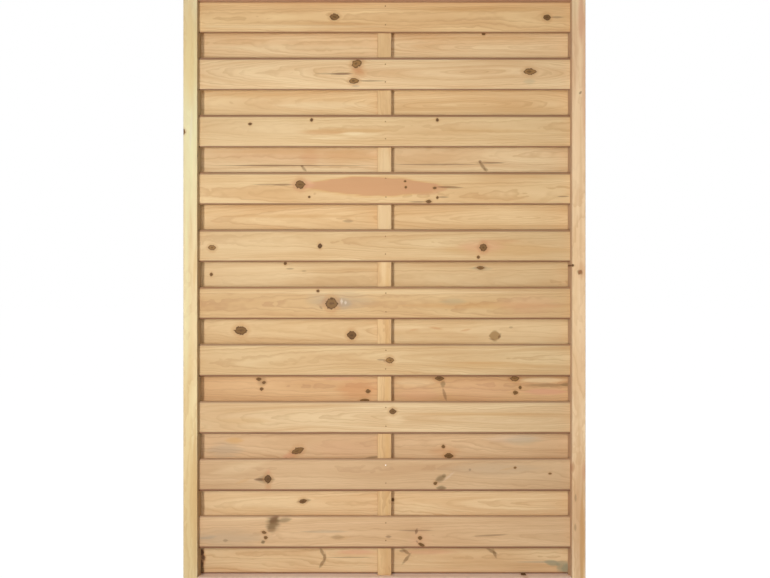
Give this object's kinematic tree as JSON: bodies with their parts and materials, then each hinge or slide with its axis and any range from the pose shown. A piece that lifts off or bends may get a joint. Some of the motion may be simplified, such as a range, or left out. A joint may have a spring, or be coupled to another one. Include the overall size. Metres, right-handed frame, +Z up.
{
  "type": "privacy fence panel",
  "caption": "Framed timber privacy fence panel: horizontal slats lap on the front and back of an upright middle batten, and the side stiles fix to posts.",
  "frame": {"origin": "on the outer face of the left stile, at half the panel's height and half its depth, where a post holds it", "axes": "+X from the left stile to the right one, +Y from the front to the back (the panel faces -Y), +Z up"},
  "size_m": [1.2, 0.07, 1.8],
  "materials": {
    "stile_timber": "planed and sanded pine, bare",
    "rail_timber": "planed and sanded pine, bare",
    "batten_timber": "planed pine, bare",
    "front_slat_timber": "planed pine, bare",
    "back_slat_timber": "planed pine, bare"
  },
  "bodies": {
    "root": {"left_stile": "stile_timber", "right_stile": "stile_timber", "top_rail": "rail_timber", "bottom_rail": "rail_timber", "middle_batten": "batten_timber", "front_slat_01": "front_slat_timber", "front_slat_02": "front_slat_timber", "front_slat_03": "front_slat_timber", "front_slat_04": "front_slat_timber", "front_slat_05": "front_slat_timber", "front_slat_06": "front_slat_timber", "front_slat_07": "front_slat_timber", "front_slat_08": "front_slat_timber", "front_slat_09": "front_slat_timber", "front_slat_10": "front_slat_timber", "back_slat_01": "back_slat_timber", "back_slat_02": "back_slat_timber", "back_slat_03": "back_slat_timber", "back_slat_04": "back_slat_timber", "back_slat_05": "back_slat_timber", "back_slat_06": "back_slat_timber", "back_slat_07": "back_slat_timber", "back_slat_08": "back_slat_timber", "back_slat_09": "back_slat_timber", "back_slat_10": "back_slat_timber"}
  },
  "joints": []
}
